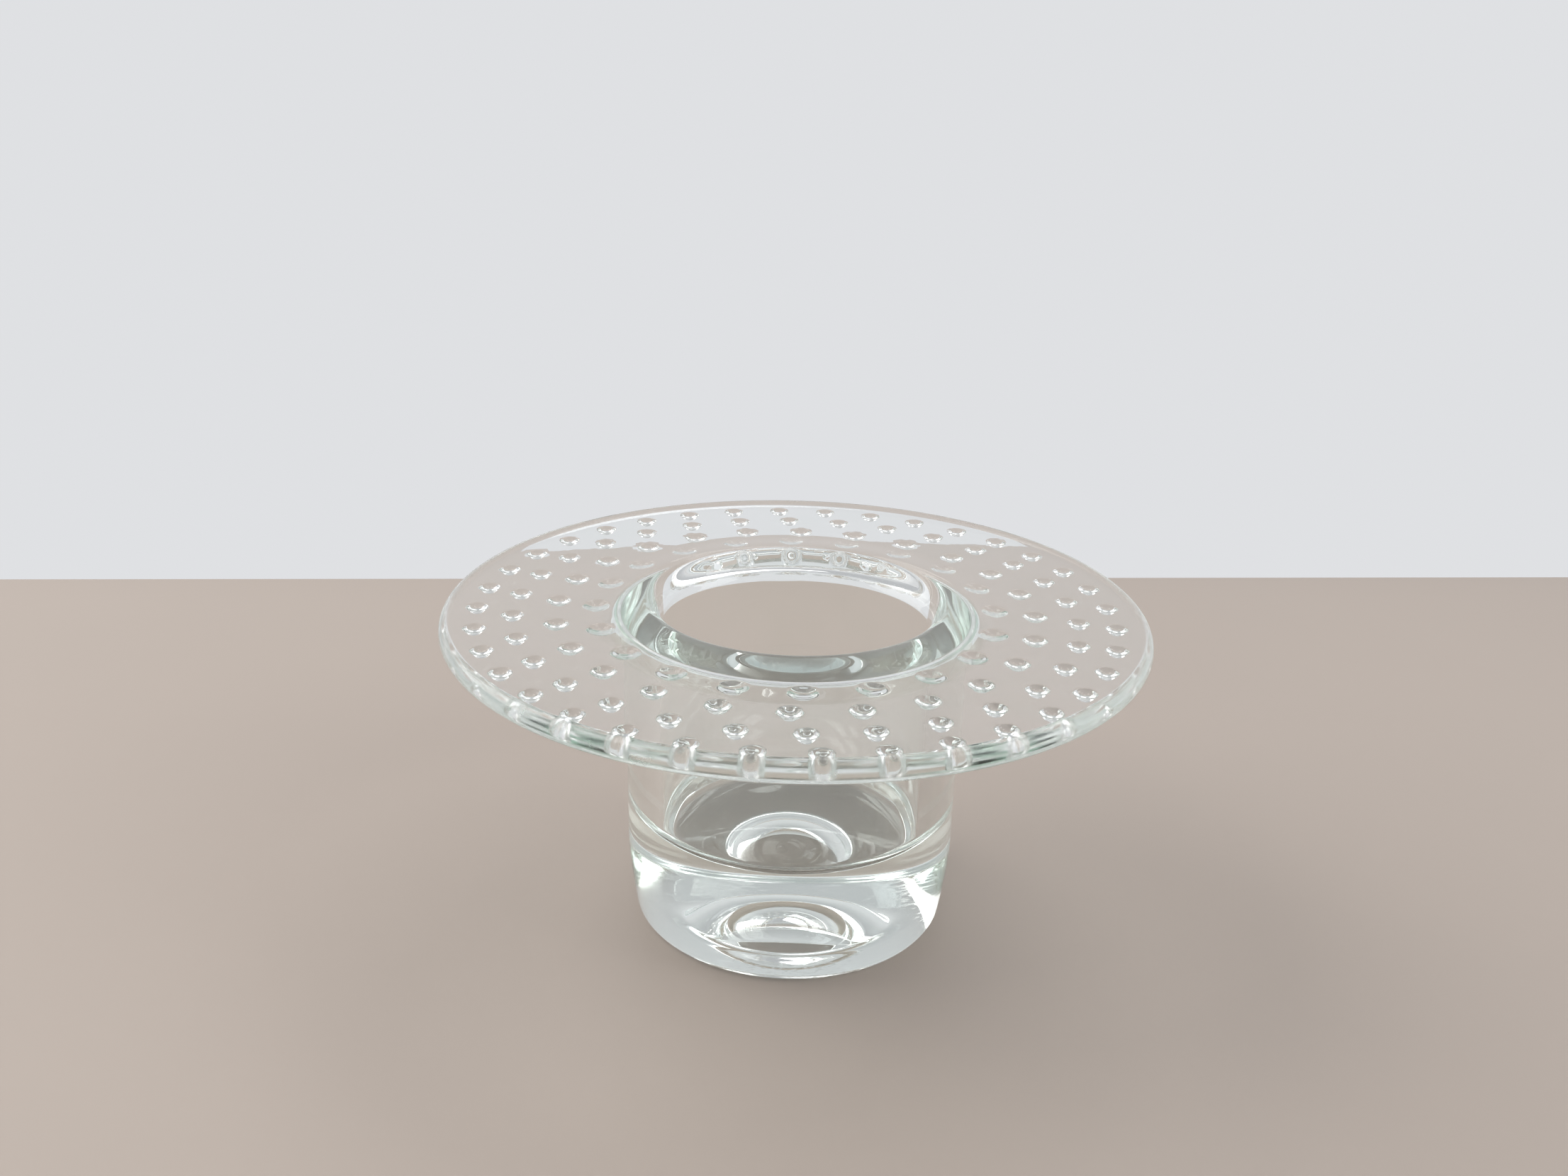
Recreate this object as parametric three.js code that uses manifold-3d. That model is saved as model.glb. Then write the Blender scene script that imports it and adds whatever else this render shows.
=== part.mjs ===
// Clear pressed-glass votive holder: a thick-based cup under a wide flat brim, in one piece.
// The brim carries rings of raised drops on its underside, and a low rounded collar
// stands round the mouth. Units are millimetres, +Z is up, and the origin is the
// centre of the foot on the table.

import * as THREE from 'three';
import { mergeVertices } from 'three/addons/utils/BufferGeometryUtils.js';
import Module from 'manifold-3d';

// Brim: a flat plate with a round edge, a little thicker towards the cup
const BRIM_DIAMETER = 125;
const BRIM_HEIGHT = 60.5;
const EDGE_THICKNESS = 4.3;
const EDGE_ROUNDING = 2;
const PLATE_ROOT_THICKNESS = 5;

// Collar: a low rounded ring that rises from the brim to the mouth
const COLLAR_WIDTH = 9.1;
const COLLAR_RISE = 0.8;
const COLLAR_FOOT_SLOPE_DEG = 50;
const LIP_WIDTH = 3.3;
const LIP_DEPTH = 5;

// Cup: a straight bore in a straight wall that narrows a little towards its foot
const CUP_DIAMETER = 60.8;
const MOUTH_DIAMETER = 47.8;
const FLOOR_THICKNESS = 19.5;
const FLOOR_ROUNDING = 3;
const ROOT_FILLET_WIDTH = 2;
const ROOT_FILLET_HEIGHT = 1.3;
const FOOT_INSET = 1.4;
const FOOT_TAPER_HEIGHT = 16;
const FOOT_CORNER_RADIUS = 2;

// Punt: the shallow hollow in the middle of the foot
const PUNT_DIAMETER = 24;
const PUNT_DEPTH = 4;

// Drops: raised beads in concentric rings, all rings starting on the +X side
const DROP_RINGS = [
  { count: 20, diameter: 4.8, height: 0.9, spread: 0 },
  { count: 24, diameter: 4.0, height: 1.2, spread: 0.34 },
  { count: 30, diameter: 3.6, height: 1.3, spread: 0.69 },
  { count: 36, diameter: 3.6, height: 1.3, spread: 1 },
];
const FIRST_RING_SETBACK = 5.1;
const LAST_RING_MARGIN = 6;
const DROP_ROOT_DEPTH = 0.6;

// Facets
const ROUND_STEPS = 72;
const DROP_SIDES = 8;
const DROP_LEVELS = 2;

const brimRadius = BRIM_DIAMETER / 2;
const cupRadius = CUP_DIAMETER / 2;
const boreRadius = MOUTH_DIAMETER / 2;
const edgeStart = brimRadius - EDGE_ROUNDING;
const rootRadius = cupRadius + ROOT_FILLET_WIDTH;

// Height of the brim's underside at a radius: it falls evenly from the edge to the root.
function undersideHeight(radius) {
  const inward = (edgeStart - radius) / (edgeStart - rootRadius);
  const thickness = EDGE_THICKNESS + (PLATE_ROOT_THICKNESS - EDGE_THICKNESS) * inward;
  return BRIM_HEIGHT - thickness;
}

// Points of an elliptical arc in the (radius, height) plane, angles in degrees.
function arc(centreR, centreZ, reachR, reachZ, fromDeg, toDeg, steps) {
  const points = [];
  for (let i = 0; i <= steps; i += 1) {
    const angle = THREE.MathUtils.degToRad(fromDeg + ((toDeg - fromDeg) * i) / steps);
    points.push(new THREE.Vector2(
      centreR + reachR * Math.cos(angle),
      centreZ + reachZ * Math.sin(angle),
    ));
  }
  return points;
}

// Underside of the foot: the domed punt, then the flat ring that meets the table.
function footOutline() {
  const puntRadius = PUNT_DIAMETER / 2;
  const domeRadius = (puntRadius ** 2 + PUNT_DEPTH ** 2) / (2 * PUNT_DEPTH);
  const domeHalfAngle = THREE.MathUtils.radToDeg(Math.asin(puntRadius / domeRadius));
  const dome = arc(0, PUNT_DEPTH - domeRadius, domeRadius, domeRadius, 90, 90 - domeHalfAngle, 5);
  dome[0].x = 0;
  dome[dome.length - 1].y = 0;
  return dome;
}

// Outer wall of the cup, from the foot's corner up to the fillet under the brim.
function wallOutline() {
  const footRadius = cupRadius - FOOT_INSET;
  const corner = arc(
    footRadius - FOOT_CORNER_RADIUS, FOOT_CORNER_RADIUS,
    FOOT_CORNER_RADIUS, FOOT_CORNER_RADIUS, -90, -10, 3,
  );
  const cornerEnd = corner[corner.length - 1];
  const taper = arc(
    cornerEnd.x, FOOT_TAPER_HEIGHT, cupRadius - cornerEnd.x,
    FOOT_TAPER_HEIGHT - cornerEnd.y, -90, 0, 3,
  ).slice(1);
  const root = arc(
    rootRadius, undersideHeight(rootRadius) - ROOT_FILLET_HEIGHT,
    ROOT_FILLET_WIDTH, ROOT_FILLET_HEIGHT, 180, 90, 3,
  );
  return [...corner, ...taper, ...root];
}

// Round edge of the brim, from the plate's underside up to its flat top.
function edgeOutline() {
  return arc(
    edgeStart, BRIM_HEIGHT - EDGE_THICKNESS / 2, EDGE_ROUNDING, EDGE_THICKNESS / 2, -90, 90, 8,
  );
}

// Collar and lip: an arc from the foot line to the crest, then round into the bore.
function collarOutline() {
  const footRadius = boreRadius + COLLAR_WIDTH;
  const crestRadius = boreRadius + LIP_WIDTH;
  const crestHeight = BRIM_HEIGHT + COLLAR_RISE;
  const start = THREE.MathUtils.degToRad(90 - COLLAR_FOOT_SLOPE_DEG);
  const reachR = (footRadius - crestRadius) / Math.cos(start);
  const reachZ = COLLAR_RISE / (1 - Math.sin(start));
  const outside = arc(
    crestRadius, crestHeight - reachZ, reachR, reachZ, 90 - COLLAR_FOOT_SLOPE_DEG, 90, 4,
  );
  const lip = arc(
    crestRadius, crestHeight - LIP_DEPTH, LIP_WIDTH, LIP_DEPTH, 90, 180, 4,
  ).slice(1);
  return [...outside, ...lip];
}

// Bore and floor of the cup, down to the axis.
function boreOutline() {
  const corner = arc(
    boreRadius - FLOOR_ROUNDING, FLOOR_THICKNESS + FLOOR_ROUNDING,
    FLOOR_ROUNDING, FLOOR_ROUNDING, 0, -90, 3,
  );
  return [...corner, new THREE.Vector2(0, FLOOR_THICKNESS)];
}

// Turns an outline that starts and ends on the axis about the vertical.
function revolve(outline, steps) {
  const geometry = new THREE.LatheGeometry(outline, steps);
  geometry.rotateX(Math.PI / 2);
  return geometry;
}

// Closed solid of a drop: a spherical cap that hangs from a short root in the brim.
function dropGeometry(diameter, height) {
  const radius = diameter / 2;
  const sphereRadius = (radius ** 2 + height ** 2) / (2 * height);
  const halfAngle = THREE.MathUtils.radToDeg(Math.asin(radius / sphereRadius));
  const cap = arc(
    0, sphereRadius - height, sphereRadius, sphereRadius, -90, -90 + halfAngle, DROP_LEVELS,
  );
  cap[0].x = 0;
  const root = [
    new THREE.Vector2(radius, DROP_ROOT_DEPTH),
    new THREE.Vector2(0, DROP_ROOT_DEPTH),
  ];
  return revolve([...cap, ...root], DROP_SIDES);
}

const wasm = await Module();
wasm.setup();

// Turns a closed three.js geometry into a solid that can be joined.
function solidOf(geometry) {
  const plain = geometry.clone();
  plain.deleteAttribute('normal');
  plain.deleteAttribute('uv');
  const merged = mergeVertices(plain, 1e-4);
  return new wasm.Manifold(new wasm.Mesh({
    numProp: 3,
    vertProperties: Float32Array.from(merged.attributes.position.array),
    triVerts: Uint32Array.from(merged.index.array),
  }));
}

// Turns a solid back into a three.js geometry.
function geometryOf(solid) {
  const mesh = solid.getMesh();
  const geometry = new THREE.BufferGeometry();
  geometry.setAttribute('position', new THREE.BufferAttribute(mesh.vertProperties, 3));
  geometry.setIndex(new THREE.BufferAttribute(mesh.triVerts, 1));
  geometry.computeVertexNormals();
  return geometry;
}

// One solid for each drop, ring by ring, from the collar's side out to the edge.
function dropSolids() {
  const firstRadius = cupRadius + FIRST_RING_SETBACK;
  const lastRadius = brimRadius - LAST_RING_MARGIN;
  const solids = [];
  for (const ring of DROP_RINGS) {
    const ringRadius = firstRadius + (lastRadius - firstRadius) * ring.spread;
    const drop = dropGeometry(ring.diameter, ring.height);
    for (let i = 0; i < ring.count; i += 1) {
      const angle = (2 * Math.PI * i) / ring.count;
      const placed = drop.clone();
      placed.translate(
        ringRadius * Math.cos(angle), ringRadius * Math.sin(angle), undersideHeight(ringRadius),
      );
      solids.push(solidOf(placed));
    }
  }
  return solids;
}

function holderGeometry() {
  const outline = [
    ...footOutline(),
    ...wallOutline(),
    ...edgeOutline(),
    ...collarOutline(),
    ...boreOutline(),
  ];
  const body = solidOf(revolve(outline, ROUND_STEPS));
  return geometryOf(wasm.Manifold.union([body, ...dropSolids()]));
}

const glass = new THREE.MeshStandardMaterial({
  color: 0xf4faf6,
  roughness: 0.03,
  metalness: 0,
  transparent: true,
  opacity: 0.35,
});

const holder = new THREE.Mesh(holderGeometry(), glass);
holder.name = 'glass_holder';

const votiveHolder = new THREE.Group();
votiveHolder.name = 'votive_holder';
votiveHolder.add(holder);

export default votiveHolder;
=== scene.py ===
"""Clear pressed-glass votive holder, dressed as one fine closed body of glass.

The holder is a thick-based cup under a wide flat brim. Rings of raised drops stand on the
underside of the brim, and a low soft collar rises round the mouth. The profile sizes are
millimetres and the Blender objects are metres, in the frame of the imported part.
"""

import logging
import math
from dataclasses import dataclass, field
from enum import Enum
from typing import Any, Callable, Sequence

import bmesh
import bpy
from mathutils import Matrix, Vector
from mathutils.geometry import delaunay_2d_cdt


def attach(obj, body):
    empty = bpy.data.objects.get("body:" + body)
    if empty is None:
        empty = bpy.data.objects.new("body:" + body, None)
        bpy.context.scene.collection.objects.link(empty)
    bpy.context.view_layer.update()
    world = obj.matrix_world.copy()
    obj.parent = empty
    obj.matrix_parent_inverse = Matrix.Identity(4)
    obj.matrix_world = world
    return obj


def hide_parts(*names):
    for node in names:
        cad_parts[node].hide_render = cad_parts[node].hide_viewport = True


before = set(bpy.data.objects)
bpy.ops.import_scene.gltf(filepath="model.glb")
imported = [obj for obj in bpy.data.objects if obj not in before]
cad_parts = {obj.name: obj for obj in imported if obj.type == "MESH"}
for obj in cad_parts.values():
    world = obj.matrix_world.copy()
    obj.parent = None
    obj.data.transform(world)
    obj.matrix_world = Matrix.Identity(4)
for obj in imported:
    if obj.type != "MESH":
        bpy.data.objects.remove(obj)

MM = 0.001
# Bends that a light path may make, so that the thick base doesn't go dark
GLASS_BOUNCES = 24
LOG = logging.getLogger("votive_holder")

Point = tuple[float, float]
Place = tuple[float, float, float]
Colour = tuple[float, float, float]


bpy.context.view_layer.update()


# ---------------------------------------------------------------- shader kit


class Tap:
    """A socket whose sums with numbers and other taps become Math nodes."""

    def __init__(self, bench: "Bench", socket: bpy.types.NodeSocket) -> None:
        """Keeps the socket and the bench that its sums are made on."""
        self.bench = bench
        self.socket = socket

    def sibling(self, name: str) -> "Tap":
        """Returns another output of the same node."""
        return Tap(self.bench, self.socket.node.outputs[name])

    def _math(self, operation: str, first: Any, second: Any) -> "Tap":
        """Returns the result of one Math node on two values."""
        return self.bench.node("ShaderNodeMath", {"operation": operation}, {0: first, 1: second})

    def __add__(self, other: Any) -> "Tap":
        """self + other."""
        return self._math("ADD", self, other)

    __radd__ = __add__

    def __sub__(self, other: Any) -> "Tap":
        """self - other."""
        return self._math("SUBTRACT", self, other)

    def __rsub__(self, other: Any) -> "Tap":
        """other - self."""
        return self._math("SUBTRACT", other, self)

    def __mul__(self, other: Any) -> "Tap":
        """self * other."""
        return self._math("MULTIPLY", self, other)

    __rmul__ = __mul__


class Bench:
    """The node tree of one material or world, and the one way of adding to it."""

    def __init__(self, tree: bpy.types.NodeTree) -> None:
        """Empties the tree."""
        self.tree = tree
        tree.nodes.clear()

    def node(
        self,
        kind: str,
        settings: dict[str, Any] | None = None,
        sockets: dict[int | str, Any] | None = None,
        out: int | str = 0,
    ) -> Tap:
        """Adds one node.

        Args:
            kind: the node's type name.
            settings: properties that are set first, such as an operation.
            sockets: values or taps for the inputs, by name or number.
            out: the output to return.

        Returns:
            The chosen output as a tap.
        """
        made = self.tree.nodes.new(kind)
        for name, value in (settings or {}).items():
            setattr(made, name, value)
        for key, value in (sockets or {}).items():
            if isinstance(value, Tap):
                self.tree.links.new(value.socket, made.inputs[key])
            else:
                made.inputs[key].default_value = value
        return Tap(self, made.outputs[out] if made.outputs else None)

    def mix_colour(self, factor: Any, first: Any, second: Any) -> Tap:
        """Mixes two colours.

        Args:
            factor: 0 for the first colour, 1 for the second.
            first: the first colour, as three numbers.
            second: the second colour, as three numbers.

        Returns:
            The mixed colour.
        """
        return self.node(
            "ShaderNodeMix",
            {"data_type": "RGBA"},
            {0: factor, 6: (*first, 1.0), 7: (*second, 1.0)},
            out=2,
        )

    def fade(self, value: Tap, start: float, end: float) -> Tap:
        """Turns a value into a soft mask.

        Args:
            value: the value to look at.
            start: where the mask leaves 0.
            end: where the mask reaches 1.

        Returns:
            The mask.
        """
        return self.node(
            "ShaderNodeMapRange",
            {"interpolation_type": "SMOOTHSTEP", "clamp": True},
            {0: value, 1: start, 2: end},
        )

    def place(self) -> Tap:
        """Returns the point in the object's own frame, in metres."""
        return self.node("ShaderNodeTexCoord", out="Object")

    def height(self, point: Tap) -> Tap:
        """Returns the upright part of a point or direction."""
        return self.node("ShaderNodeSeparateXYZ", sockets={0: point}, out="Z")

    def girth(self, point: Tap) -> Tap:
        """Measures how far a point is from the upright axis.

        Args:
            point: the point.

        Returns:
            The distance in metres.
        """
        flat = self.node(
            "ShaderNodeVectorMath", {"operation": "MULTIPLY"}, {0: point, 1: (1, 1, 0)}
        )
        return self.node("ShaderNodeVectorMath", {"operation": "LENGTH"}, {0: flat}, out="Value")


@dataclass(frozen=True)
class Blotch:
    """A smooth noise: the width of its blotches in metres, and the range that counts."""

    size: float
    detail: float
    low: float = 0.0
    high: float = 1.0
    warp: float = 0.0

    def noise(self, point: Tap) -> Tap:
        """Builds the noise as it comes.

        Args:
            point: where it is looked up.

        Returns:
            A value about 0.5 that wanders between 0 and 1.
        """
        return point.bench.node(
            "ShaderNodeTexNoise",
            {"noise_dimensions": "3D"},
            {
                "Vector": point,
                "Scale": 1.0 / self.size,
                "Detail": self.detail,
                "Distortion": self.warp,
            },
        )

    def mask(self, point: Tap) -> Tap:
        """Returns the noise as a soft mask over the range that counts."""
        return point.bench.fade(self.noise(point), self.low, self.high)


# ------------------------------------------------------------------ finishes


@dataclass(frozen=True)
class PressedGlass:
    """Clear soda glass as it leaves a mould, fire-polished, with a worn foot."""

    clear: Colour = (0.992, 0.998, 0.994)
    cord: Colour = (0.972, 0.990, 0.980)
    body_tint: Colour = (0.80, 0.93, 0.86)
    tint_density: float = 5.5
    index: float = 1.5
    polish: float = 0.004
    smudge: float = 0.015
    foot_wear: float = 0.16
    edge_haze: float = 0.40
    ripple_depth: float = 0.000012
    chill_depth: float = 0.000001
    foot_band: Point = (0.0001, 0.0006)
    edge_band: Point = (0.0605, 0.0613)
    cords: Blotch = Blotch(0.018, 3.0, 0.42, 0.68, 1.6)
    touches: Blotch = Blotch(0.009, 4.0, 0.52, 0.74)
    scuffs: Blotch = Blotch(0.0011, 3.0, 0.45, 0.65)
    veil: Blotch = Blotch(0.005, 3.0)
    ripple: Blotch = Blotch(0.014, 1.0)
    chill: Blotch = Blotch(0.0035, 2.0)

    def _roughness(self, point: Tap) -> Tap:
        """Builds the polish, with finger marks, the worn foot and the hazy round edge.

        Args:
            point: the point on the glass.

        Returns:
            The roughness.
        """
        bench = point.bench
        near_table = 1.0 - bench.fade(bench.height(point), *self.foot_band)
        at_edge = bench.fade(bench.girth(point), *self.edge_band)
        rough = self.polish + self.touches.mask(point) * self.smudge
        rough = rough + near_table * self.scuffs.mask(point) * self.foot_wear
        return rough + at_edge * self.veil.noise(point) * self.edge_haze

    def _bump(self, point: Tap) -> Tap:
        """Builds the slow ripple of the pressed skin and its fine chill marks.

        Args:
            point: the point on the glass.

        Returns:
            The bent normal.
        """
        waves = self.ripple.noise(point) * self.ripple_depth
        waves = waves + self.chill.noise(point) * self.chill_depth
        return point.bench.node(
            "ShaderNodeBump", sockets={"Strength": 1.0, "Distance": 1.0, "Height": waves}
        )

    def material(self) -> bpy.types.Material:
        """Builds the material.

        Returns:
            A glass whose tint, polish and surface ripple vary over the piece.
        """
        made = bpy.data.materials.new("pressed_clear_glass")
        made.use_nodes = True
        bench = Bench(made.node_tree)
        point = bench.place()
        glass = bench.node(
            "ShaderNodeBsdfPrincipled",
            sockets={
                "Base Color": bench.mix_colour(self.cords.mask(point), self.clear, self.cord),
                "Roughness": self._roughness(point),
                "IOR": self.index,
                "Transmission Weight": 1.0,
                "Normal": self._bump(point),
            },
        )
        tint = bench.node(
            "ShaderNodeVolumeAbsorption",
            sockets={"Color": (*self.body_tint, 1.0), "Density": self.tint_density},
        )
        bench.node("ShaderNodeOutputMaterial", sockets={"Surface": glass, "Volume": tint})
        return made


@dataclass(frozen=True)
class PaleBoard:
    """The plain pale surface that the holder stands on."""

    tone: Colour = (0.50, 0.425, 0.37)
    second_tone: Colour = (0.47, 0.40, 0.35)
    roughness: float = 0.55
    cloud: Blotch = Blotch(0.12, 3.0)

    def material(self) -> bpy.types.Material:
        """Builds the material.

        Returns:
            A matt surface with a very soft change of tone.
        """
        made = bpy.data.materials.new("pale_board")
        made.use_nodes = True
        bench = Bench(made.node_tree)
        cloud = self.cloud.noise(bench.place())
        board = bench.node(
            "ShaderNodeBsdfPrincipled",
            sockets={
                "Base Color": bench.mix_colour(cloud, self.tone, self.second_tone),
                "Roughness": self.roughness,
            },
        )
        bench.node("ShaderNodeOutputMaterial", sockets={"Surface": board})
        return made


# ------------------------------------------------------------------- outlines


@dataclass(frozen=True)
class Fineness:
    """How many chords each stretch of the glass is drawn with."""

    around: int = 480
    punt: int = 20
    punt_rim: int = 6
    foot: int = 12
    corner: int = 10
    taper: int = 14
    run: int = 24
    root: int = 24
    edge: int = 40
    collar: int = 32
    lip: int = 28
    floor_corner: int = 12
    floor: int = 8
    around_drop: int = 28
    drop_fillet: int = 5
    drop_cap: int = 7


FINE = Fineness()


def arc(
    centre: Point, reach: Point, from_deg: float, to_deg: float, steps: int
) -> list[Point]:
    """Draws an elliptical arc in the (radius, height) plane.

    Args:
        centre: radius and height of the arc's centre.
        reach: half-widths along radius and height.
        from_deg: start angle in degrees.
        to_deg: end angle in degrees.
        steps: number of chords.

    Returns:
        The steps + 1 points of the arc.
    """
    points = []
    for i in range(steps + 1):
        angle = math.radians(from_deg + (to_deg - from_deg) * i / steps)
        points.append(
            (centre[0] + reach[0] * math.cos(angle), centre[1] + reach[1] * math.sin(angle))
        )
    return points


def rounded(start: Point, corner: Point, end: Point, steps: int) -> list[Point]:
    """Draws a rounding that leaves and meets its neighbours without a crease.

    Args:
        start: first point of the rounding.
        corner: the sharp corner that it leans towards.
        end: last point of the rounding.
        steps: number of chords.

    Returns:
        The steps + 1 points of the rounding.
    """
    points = []
    for i in range(steps + 1):
        u = i / steps
        points.append(
            tuple(
                (1 - u) ** 2 * a + 2 * u * (1 - u) * b + u**2 * c
                for a, b, c in zip(start, corner, end)
            )
        )
    return points


def spread(start: Point, end: Point, steps: int) -> list[Point]:
    """Draws a straight run whose points crowd towards both ends, which keeps it flat.

    Args:
        start: the point before the run.
        end: the point after the run.
        steps: number of chords.

    Returns:
        The points between the two ends.
    """
    points = []
    for i in range(1, steps):
        u = 0.5 - 0.5 * math.cos(math.pi * i / steps)
        points.append((start[0] + (end[0] - start[0]) * u, start[1] + (end[1] - start[1]) * u))
    return points


@dataclass(frozen=True)
class Cup:
    """The cup: a thick base with a punt, a straight wall and a straight bore."""

    radius: float = 30.4
    bore_radius: float = 23.9
    floor_height: float = 19.5
    floor_rounding: float = 3.0
    foot_inset: float = 1.4
    foot_taper_height: float = 16.0
    foot_corner: float = 2.0
    foot_corner_end_deg: float = -8.0
    punt_radius: float = 12.0
    punt_depth: float = 6.3
    punt_rounding: float = 2.5

    @property
    def foot_radius(self) -> float:
        """Radius where the flat of the foot turns into its rounded corner."""
        return self.radius - self.foot_inset - self.foot_corner

    def punt(self) -> list[Point]:
        """Draws the domed hollow under the base, and the flat of the foot round it.

        Returns:
            The points from the axis out, up to the foot's corner but without it.
        """
        dome = (self.punt_radius**2 + self.punt_depth**2) / (2 * self.punt_depth)
        half = math.degrees(math.asin(self.punt_radius / dome))
        points = arc((0, self.punt_depth - dome), (dome, dome), 90, 90 - half, FINE.punt)
        points[0] = (0.0, self.punt_depth)
        rim_end = (self.punt_radius + self.punt_rounding, 0.0)
        rim = rounded(points[-2], (self.punt_radius, 0.0), rim_end, FINE.punt_rim)
        return points[:-2] + rim + spread(rim_end, (self.foot_radius, 0.0), FINE.foot)

    def wall(self) -> list[Point]:
        """Draws the outer wall from the foot's corner up to where it stands straight.

        Returns:
            The points, lowest first.
        """
        rounding = self.foot_corner
        corner = arc(
            (self.foot_radius, rounding),
            (rounding, rounding),
            -90,
            self.foot_corner_end_deg,
            FINE.corner,
        )
        start_r, start_z = corner[-1]
        taper = []
        for i in range(1, FINE.taper + 1):
            u = i / FINE.taper
            taper.append(
                (
                    start_r + (self.radius - start_r) * math.sin(u * math.pi / 2),
                    start_z + (self.foot_taper_height - start_z) * u,
                )
            )
        return corner + taper

    def bore(self) -> list[Point]:
        """Draws the bottom of the bore, from its wall in to the axis.

        Returns:
            The points, the last on the axis.
        """
        rounding = self.floor_rounding
        flat_radius = self.bore_radius - rounding
        corner = arc(
            (flat_radius, self.floor_height + rounding),
            (rounding, rounding),
            0,
            -90,
            FINE.floor_corner,
        )
        steps = range(1, FINE.floor + 1)
        return corner + [(flat_radius * (1 - i / FINE.floor), self.floor_height) for i in steps]


@dataclass(frozen=True)
class Brim:
    """The wide flat brim: a plate that thickens towards the cup, with a round edge."""

    radius: float = 62.5
    top: float = 60.5
    edge_thickness: float = 4.1
    edge_rounding: float = 2.0
    root_thickness: float = 4.8

    @property
    def edge_start(self) -> float:
        """Radius where the flat faces turn into the round edge."""
        return self.radius - self.edge_rounding

    def underside(self, r: float, root_radius: float) -> float:
        """Gives the height of the underside, which falls evenly from the edge to the root.

        Args:
            r: the radius asked for.
            root_radius: radius where the fall ends.

        Returns:
            The height.
        """
        inward = (self.edge_start - r) / (self.edge_start - root_radius)
        swelling = self.root_thickness - self.edge_thickness
        return self.top - self.edge_thickness - swelling * min(max(inward, 0.0), 1.0)

    def edge(self) -> list[Point]:
        """Draws the round edge, from the underside up to the top face.

        Returns:
            The points, lowest first.
        """
        half = self.edge_thickness / 2
        centre = (self.edge_start, self.top - half)
        return arc(centre, (self.edge_rounding, half), -90, 90, FINE.edge)


@dataclass(frozen=True)
class Collar:
    """The low soft rise round the mouth, and the lip that turns down into the bore."""

    foot_radius: float = 37.0
    crest_radius: float = 27.2
    crest_height: float = 61.3
    lip_depth: float = 5.0

    def outline(self, brim_top: float, bore_radius: float) -> list[Point]:
        """Draws the collar from the flat of the brim over the crest into the bore.

        Args:
            brim_top: height of the plate that the collar rises from.
            bore_radius: radius of the bore it turns into.

        Returns:
            The points, foot first.
        """
        rise = self.crest_height - brim_top
        slope = []
        for i in range(FINE.collar + 1):
            u = i / FINE.collar
            radius = self.foot_radius + (self.crest_radius - self.foot_radius) * u
            slope.append((radius, brim_top + rise * (0.5 - 0.5 * math.cos(math.pi * u))))
        lip = arc(
            (self.crest_radius, self.crest_height - self.lip_depth),
            (self.crest_radius - bore_radius, self.lip_depth),
            90,
            180,
            FINE.lip,
        )
        return slope + lip[1:]


@dataclass(frozen=True)
class DropRing:
    """One ring of equal round drops on the underside of the brim."""

    count: int
    ring_radius: float
    diameter: float
    height: float
    fillet: float = 0.35
    cap_share: float = 0.86

    def centres(self) -> list[Point]:
        """Places the drops' centres.

        Returns:
            The centres, the first on the +X side.
        """
        turn = 2 * math.pi / self.count
        return [
            (self.ring_radius * math.cos(turn * i), self.ring_radius * math.sin(turn * i))
            for i in range(self.count)
        ]

    @property
    def outer_radius(self) -> float:
        """Radius of the whole drop with its root fillet."""
        return self.diameter / 2 + self.fillet

    def section(self) -> list[Point]:
        """Draws half a section of a drop: a fillet level with the plate, then a round cap.

        Returns:
            (radius, depth below the plate) pairs, rim first and tip last.
        """
        radius, height = self.diameter / 2, self.height
        sphere = (radius**2 + height**2) / (2 * height)
        cap_angle = math.asin(radius / sphere) * self.cap_share
        slope = math.tan(cap_angle)
        meet_r = sphere * math.sin(cap_angle)
        meet_depth = height - sphere + sphere * math.cos(cap_angle)
        span = self.outer_radius - meet_r
        points = []
        for i in range(FINE.drop_fillet + 1):
            u = i / FINE.drop_fillet
            depth = meet_depth * (3 * u**2 - 2 * u**3) + slope * span * (u**3 - u**2)
            points.append((self.outer_radius - span * u, depth))
        for i in range(1, FINE.drop_cap):
            angle = cap_angle * (1 - i / FINE.drop_cap)
            points.append((sphere * math.sin(angle), height - sphere + sphere * math.cos(angle)))
        points.append((0.0, height))
        return points


# ------------------------------------------------------------------- meshing


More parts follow.
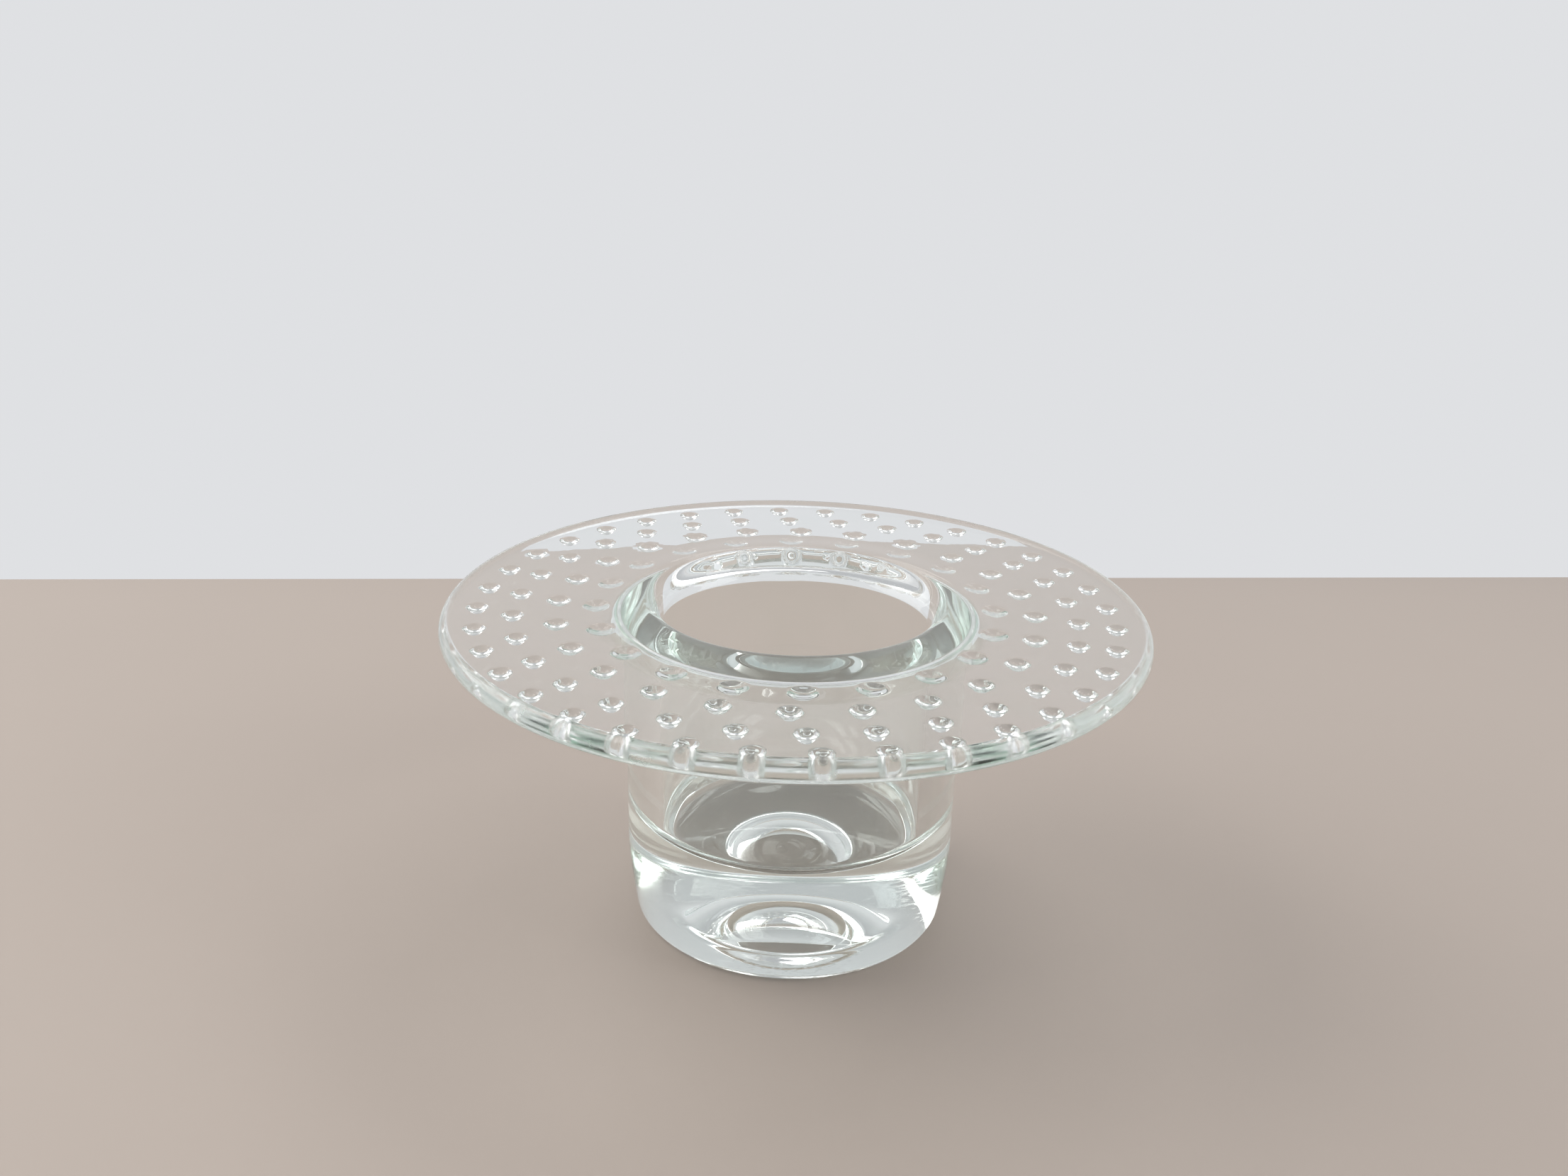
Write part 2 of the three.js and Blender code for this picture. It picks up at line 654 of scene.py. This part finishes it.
class Mesher:
    """Collects the points and faces of one closed mesh, in millimetres."""

    AXIS_WIDTH = 1e-9

    def __init__(self, steps: int = 0) -> None:
        """Starts with no points and no faces.

        Args:
            steps: number of points in each full ring, where there are any.
        """
        self.steps = steps
        self.points: list[Place] = []
        self.faces: list[tuple[int, ...]] = []

    def ring(self, radius: float, height: float) -> list[int]:
        """Adds a full ring of points.

        Args:
            radius: radius of the ring.
            height: height of the ring.

        Returns:
            The numbers of its points.
        """
        first = len(self.points)
        for i in range(self.steps):
            angle = 2 * math.pi * i / self.steps
            self.points.append((radius * math.cos(angle), radius * math.sin(angle), height))
        return list(range(first, first + self.steps))

    def tip(self, x: float, y: float, height: float) -> int:
        """Adds one point and returns its number."""
        self.points.append((x, y, height))
        return len(self.points) - 1

    def band(self, first: Sequence[int], second: Sequence[int]) -> None:
        """Joins two closed rings of equal count by four-sided faces.

        Args:
            first: numbers of one ring's points.
            second: numbers of the other ring's points.
        """
        count = len(first)
        for i in range(count):
            j = (i + 1) % count
            self.faces.append((first[i], first[j], second[j], second[i]))

    def fan(self, ring: Sequence[int], tip: int) -> None:
        """Joins a closed ring to one point.

        Args:
            ring: numbers of the ring's points.
            tip: number of the point.
        """
        count = len(ring)
        for i in range(count):
            self.faces.append((ring[i], ring[(i + 1) % count], tip))

    def skin(self, outline: Sequence[Point], start: list[int] | None = None) -> list[int]:
        """Turns an outline about the axis.

        Args:
            outline: (radius, height) points; a radius of 0 closes the skin.
            start: ring to join to the first point, which is then left out.

        Returns:
            The last ring.
        """
        ring = start
        waiting: int | None = None
        for radius, height in outline[1:] if start else outline:
            if radius < self.AXIS_WIDTH:
                tip = self.tip(0.0, 0.0, height)
                if ring is None:
                    waiting = tip
                else:
                    self.fan(ring, tip)
                continue
            following = self.ring(radius, height)
            if waiting is not None:
                self.fan(following, waiting)
                waiting = None
            elif ring is not None:
                self.band(ring, following)
            ring = following
        return ring

    def make_object(self, name: str, material: bpy.types.Material) -> bpy.types.Object:
        """Makes the Blender object with smooth, outward faces.

        Args:
            name: name of the object and its mesh.
            material: the finish of every face.

        Returns:
            The object, linked to the scene.
        """
        mesh = bpy.data.meshes.new(name)
        mesh.from_pydata([tuple(c * MM for c in p) for p in self.points], [], self.faces)
        work = bmesh.new()
        work.from_mesh(mesh)
        bmesh.ops.recalc_face_normals(work, faces=work.faces)
        for face in work.faces:
            face.smooth = True
        work.to_mesh(mesh)
        work.free()
        mesh.materials.append(material)
        made = bpy.data.objects.new(name, mesh)
        bpy.context.scene.collection.objects.link(made)
        return made


@dataclass(frozen=True)
class Spot:
    """The round patch of the brim that one drop takes up."""

    x: float
    y: float
    reach: float

    def near(self, x: float, y: float, reach: float) -> bool:
        """Whether a place is within a reach of the spot's centre."""
        return (x - self.x) ** 2 + (y - self.y) ** 2 < reach**2


class Plan:
    """The brim's underside seen flat: points and closed fences to fill with triangles."""

    WELD = 1e-7
    WHOLE_HULL = 0

    def __init__(self, mesher: Mesher) -> None:
        """Starts with no points.

        Args:
            mesher: the mesh that the plan's points and triangles belong to.
        """
        self.mesher = mesher
        self.flat: list[Vector] = []
        self.numbers: list[int] = []
        self.fences: list[list[int]] = []

    def put(self, number: int) -> int:
        """Adds one point of the mesh.

        Args:
            number: the point's number in the mesh.

        Returns:
            Its place in the plan.
        """
        self.flat.append(Vector(self.mesher.points[number][:2]))
        self.numbers.append(number)
        return len(self.flat) - 1

    def fence(self, ring: Sequence[int]) -> None:
        """Adds a closed ring of the mesh, whose sides no triangle crosses."""
        self.fences.append([self.put(number) for number in ring])

    def fill(self, wanted: Callable[[float, float], bool]) -> None:
        """Adds the triangles between the fences to the mesh.

        Args:
            wanted: whether a triangle with its middle at this place is kept.
        """
        edges = []
        for loop in self.fences:
            edges += [(loop[i], loop[(i + 1) % len(loop)]) for i in range(len(loop))]
        made = delaunay_2d_cdt(self.flat, edges, [], self.WHOLE_HULL, self.WELD)
        triangles, sources = made[2], made[3]
        for triangle in triangles:
            corners = [sources[i][0] for i in triangle]
            middle_x = sum(self.flat[i].x for i in corners) / 3
            middle_y = sum(self.flat[i].y for i in corners) / 3
            if wanted(middle_x, middle_y):
                self.mesher.faces.append(tuple(self.numbers[i] for i in corners))


# ----------------------------------------------------------------- the holder


@dataclass
class VotiveHolder:
    """The whole holder: cup, brim, collar and drops as one body of glass."""

    cup: Cup = field(default_factory=Cup)
    brim: Brim = field(default_factory=Brim)
    collar: Collar = field(default_factory=Collar)
    finish: PressedGlass = field(default_factory=PressedGlass)
    root_width: float = 2.0
    root_height: float = 1.6
    rings: tuple[DropRing, ...] = (
        DropRing(20, 35.5, 4.8, 0.9),
        DropRing(24, 42.66, 4.0, 1.2),
        DropRing(30, 50.03, 3.6, 1.3),
        DropRing(36, 56.5, 3.6, 1.3),
    )
    row_spacing: float = 0.8
    drop_clearance: float = 0.3
    rim_share: float = 0.995

    @property
    def root_end(self) -> float:
        """Radius where the fillet under the brim ends."""
        return self.cup.radius + self.root_width

    @property
    def plate_start(self) -> float:
        """Radius where the field of drops begins, no later than the end of the fillet."""
        first = self.rings[0]
        return min(self.root_end, first.ring_radius - first.outer_radius - self.drop_clearance)

    def underside(self, r: float) -> float:
        """Gives the height of the brim's underside with its fillet but without the drops.

        Args:
            r: the radius asked for.

        Returns:
            The height.
        """
        height = self.brim.underside(r, self.root_end)
        if r < self.root_end:
            u = (self.root_end - r) / self.root_width
            height -= self.root_height * (1 - math.sqrt(1 - u * u))
        return height

    def root(self) -> list[Point]:
        """Draws the fillet between the wall and the start of the field of drops.

        Returns:
            The points, lowest first.
        """
        height = self.brim.underside(self.root_end, self.root_end)
        turn = math.degrees(math.acos((self.plate_start - self.root_end) / self.root_width))
        return arc(
            (self.root_end, height - self.root_height),
            (self.root_width, self.root_height),
            180,
            turn,
            FINE.root,
        )

    def _raise_drop(self, plan: Plan, drop: DropRing, x: float, y: float) -> Spot:
        """Raises one drop from the underside, with its rim as a fence in the plan.

        Args:
            plan: the plan of the underside.
            drop: the ring that gives the drop's sizes.
            x: place of the drop's centre.
            y: place of the drop's centre.

        Returns:
            The patch that the drop takes up.
        """
        mesher, section, levels = plan.mesher, drop.section(), []
        for radius, depth in section[:-1]:
            level = []
            for k in range(FINE.around_drop):
                angle = 2 * math.pi * k / FINE.around_drop
                px, py = x + radius * math.cos(angle), y + radius * math.sin(angle)
                level.append(mesher.tip(px, py, self.underside(math.hypot(px, py)) - depth))
            levels.append(level)
        plan.fence(levels[0])
        for first, second in zip(levels, levels[1:]):
            mesher.band(first, second)
        tip_height = self.underside(math.hypot(x, y)) - section[-1][1]
        mesher.fan(levels[-1], mesher.tip(x, y, tip_height))
        return Spot(x, y, drop.outer_radius)

    def _scatter(self, plan: Plan, spots: list[Spot]) -> None:
        """Adds rows of points between the drops, so that the underside keeps its slope.

        Args:
            plan: the plan of the underside.
            spots: the patches that the points keep clear of.
        """
        start, end = self.plate_start, self.brim.edge_start
        rows = max(2, round((end - start) / self.row_spacing))
        count = FINE.around // 2
        for row in range(1, rows):
            radius = start + (end - start) * row / rows
            for i in range(count):
                angle = 2 * math.pi * (i + 0.5 * (row % 2)) / count
                x, y = radius * math.cos(angle), radius * math.sin(angle)
                if not any(s.near(x, y, s.reach + self.drop_clearance) for s in spots):
                    plan.put(plan.mesher.tip(x, y, self.underside(radius)))

    def _plate(self, mesher: Mesher, inner: list[int], outer: list[int]) -> None:
        """Fills the brim's underside between two rings, with every drop raised from it.

        Args:
            mesher: the mesh being made.
            inner: ring at the end of the root fillet.
            outer: ring at the start of the round edge.
        """
        plan = Plan(mesher)
        plan.fence(inner)
        plan.fence(outer)
        spots = [
            self._raise_drop(plan, drop, x, y) for drop in self.rings for x, y in drop.centres()
        ]
        self._scatter(plan, spots)
        hole_radius = self.plate_start * math.cos(math.pi / FINE.around)

        def wanted(x: float, y: float) -> bool:
            """Whether a place is on the plate, outside the cup and clear of every drop."""
            taken = any(s.near(x, y, s.reach * self.rim_share) for s in spots)
            return math.hypot(x, y) >= hole_radius and not taken

        plan.fill(wanted)

    def build(self) -> bpy.types.Object:
        """Builds and dresses the glass.

        Returns:
            The finished object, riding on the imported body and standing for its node.
        """
        mesher = Mesher(FINE.around)
        wall, root = self.cup.punt() + self.cup.wall(), self.root()
        inner = mesher.skin(wall + spread(wall[-1], root[0], FINE.run) + root)
        edge = self.brim.edge()
        outer = mesher.ring(*edge[0])
        self._plate(mesher, inner, outer)
        collar = self.collar.outline(self.brim.top, self.cup.bore_radius)
        bore = self.cup.bore()
        top = edge + spread(edge[-1], collar[0], FINE.run) + collar
        mesher.skin(top + spread(collar[-1], bore[0], FINE.run) + bore, outer)
        glass = mesher.make_object("clear_glass_holder", self.finish.material())
        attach(glass, "root")
        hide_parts("glass_holder")
        return glass


# ------------------------------------------------------------------- the stage


class LampRole(Enum):
    """What each soft lamp does."""

    KEY = "key"
    FILL = "fill"
    BACK = "back"


@dataclass(frozen=True)
class SoftLamp:
    """A rectangular diffused lamp aimed at the holder, placed in metres."""

    role: LampRole
    beside: Point
    height: float
    size: Point
    power: float
    colour: Colour = (1.0, 1.0, 1.0)
    target: Place = (0.0, 0.0, 0.04)

    def build(self, foot: Point) -> bpy.types.Object:
        """Builds the lamp.

        Args:
            foot: the place under the lamp, turned into the part's frame.

        Returns:
            The lamp's object.
        """
        light = bpy.data.lights.new(f"{self.role.value}_lamp", "AREA")
        light.shape = "RECTANGLE"
        light.size, light.size_y = self.size
        light.energy = self.power
        light.color = self.colour
        made = bpy.data.objects.new(light.name, light)
        bpy.context.scene.collection.objects.link(made)
        made.location = (*foot, self.height)
        aim = Vector(self.target) - Vector((*foot, self.height))
        made.rotation_euler = aim.to_track_quat("-Z", "Y").to_euler()
        return made


@dataclass(frozen=True)
class Board:
    """The straight-edged board under the holder, in millimetres."""

    back: float = 178.0
    front: float = -1200.0
    half_width: float = 1200.0
    corner: float = 60.0
    corner_steps: int = 8
    turn: float = 4.7
    thickness: float = 14.0
    drop: float = 0.2
    rim: tuple[Point, ...] = ((2.0, 0.0), (0.6, 0.6), (0.0, 2.0))
    finish: PaleBoard = field(default_factory=PaleBoard)

    def loop(self, inset: float) -> list[Point]:
        """Draws a line round the board.

        Args:
            inset: how far the line is drawn in from the board's outline.

        Returns:
            The points, before the board is turned to the camera.
        """
        side = self.half_width - self.corner
        near, far = self.front + self.corner, self.back - self.corner
        corners = (((side, far), 0), ((-side, far), 90), ((-side, near), 180), ((side, near), 270))
        reach = self.corner - inset
        points: list[Point] = []
        for centre, start in corners:
            points += arc(centre, (reach, reach), start, start + 90, self.corner_steps)
        return points


@dataclass(frozen=True)
class Studio:
    """Pale board, soft lamps, pale surroundings and the fitted camera."""

    azimuth: float = 16.2
    eye: Place = (-2.29, -240.1, 153.0)
    pitch: float = 20.58
    roll: float = 1.55
    lens_pixels: float = 2030.6
    frame_width: float = 2212.0
    sensor: float = 36.0
    near_clip: float = 0.005
    surround: Colour = (0.74, 0.75, 0.77)
    ceiling: Colour = (0.50, 0.51, 0.53)
    ceiling_band: Point = (0.25, 0.75)
    light_level: float = 0.75
    board: Board = field(default_factory=Board)
    soft_lamps: tuple[SoftLamp, ...] = (
        SoftLamp(LampRole.KEY, (-0.75, 0.15), 0.70, (0.90, 0.90), 6.5, (1.0, 0.985, 0.96)),
        SoftLamp(LampRole.FILL, (0.80, -0.25), 0.55, (0.45, 0.80), 3.0, (0.95, 0.975, 1.0)),
        SoftLamp(LampRole.BACK, (0.35, 0.45), 1.05, (0.80, 0.45), 2.5),
    )

    def _turned(self, x: float, y: float, extra: float = 0.0) -> Point:
        """Turns a place beside the camera's line into the part's frame.

        Args:
            x: distance to the camera's right.
            y: distance away from the camera.
            extra: degrees to turn it further.

        Returns:
            The place in the part's frame.
        """
        a = math.radians(self.azimuth + extra)
        return x * math.cos(a) - y * math.sin(a), x * math.sin(a) + y * math.cos(a)

    def floor(self) -> bpy.types.Object:
        """Builds the board with a softened rim, just under the foot.

        Returns:
            The board's object.
        """
        board = self.board
        mesher = Mesher()
        loops = []
        for inset, depth in (*board.rim, (0.0, board.thickness)):
            line = [self._turned(*point, board.turn) for point in board.loop(inset)]
            loops.append([mesher.tip(x, y, -board.drop - depth) for x, y in line])
        mesher.faces += [tuple(loops[0]), tuple(reversed(loops[-1]))]
        for first, second in zip(loops, loops[1:]):
            mesher.band(first, second)
        made = mesher.make_object("pale_board", board.finish.material())
        return made

    def world(self) -> bpy.types.World:
        """Builds the surroundings: pale as seen, softer as a light.

        Returns:
            The scene's world.
        """
        made = bpy.data.worlds.new("studio")
        made.use_nodes = True
        bpy.context.scene.world = made
        bench = Bench(made.node_tree)
        way = bench.node("ShaderNodeTexCoord", out="Generated")
        high = bench.fade(bench.height(way), *self.ceiling_band)
        tone = bench.mix_colour(high, self.surround, self.ceiling)
        camera = bench.node("ShaderNodeLightPath", out="Is Camera Ray")
        glossy, through = camera.sibling("Is Glossy Ray"), camera.sibling("Is Transmission Ray")
        seen = bench.node(
            "ShaderNodeMath",
            {"operation": "ADD", "use_clamp": True},
            {0: camera + glossy, 1: through},
        )
        strength = self.light_level + seen * (1.0 - self.light_level)
        sky = bench.node("ShaderNodeBackground", sockets={"Color": tone, "Strength": strength})
        bench.node("ShaderNodeOutputWorld", sockets={"Surface": sky})
        return made

    def camera(self) -> bpy.types.Object:
        """Builds the camera at the fitted place, turn and lens.

        Returns:
            The scene's camera.
        """
        data = bpy.data.cameras.new("camera")
        data.sensor_width = self.sensor
        data.lens = self.lens_pixels / self.frame_width * self.sensor
        data.clip_start = self.near_clip
        made = bpy.data.objects.new("camera", data)
        bpy.context.scene.collection.objects.link(made)
        x, y = self._turned(self.eye[0], self.eye[1])
        made.location = (x * MM, y * MM, self.eye[2] * MM)
        aim = (
            Matrix.Rotation(math.radians(self.azimuth), 4, "Z")
            @ Matrix.Rotation(math.radians(90 - self.pitch), 4, "X")
            @ Matrix.Rotation(math.radians(self.roll), 4, "Z")
        )
        made.rotation_euler = aim.to_euler()
        bpy.context.scene.camera = made
        return made

    def build(self) -> None:
        """Builds the whole setting, and reports each piece."""
        made = [self.camera(), self.world()]
        made += [lamp.build(self._turned(*lamp.beside)) for lamp in self.soft_lamps]
        made.append(self.floor())
        for piece in made:
            LOG.info("%s built", piece.name)


def main() -> None:
    """Builds the setting and the holder."""
    logging.basicConfig(level=logging.INFO, format="%(name)s: %(message)s")
    scene = bpy.context.scene
    scene.view_settings.view_transform = "Standard"
    scene.cycles.max_bounces = GLASS_BOUNCES
    scene.cycles.glossy_bounces = GLASS_BOUNCES
    scene.cycles.transmission_bounces = GLASS_BOUNCES
    Studio().build()
    glass = VotiveHolder().build()
    LOG.info("%s built, %d faces", glass.name, len(glass.data.polygons))


if __name__ == "__main__":
    main()
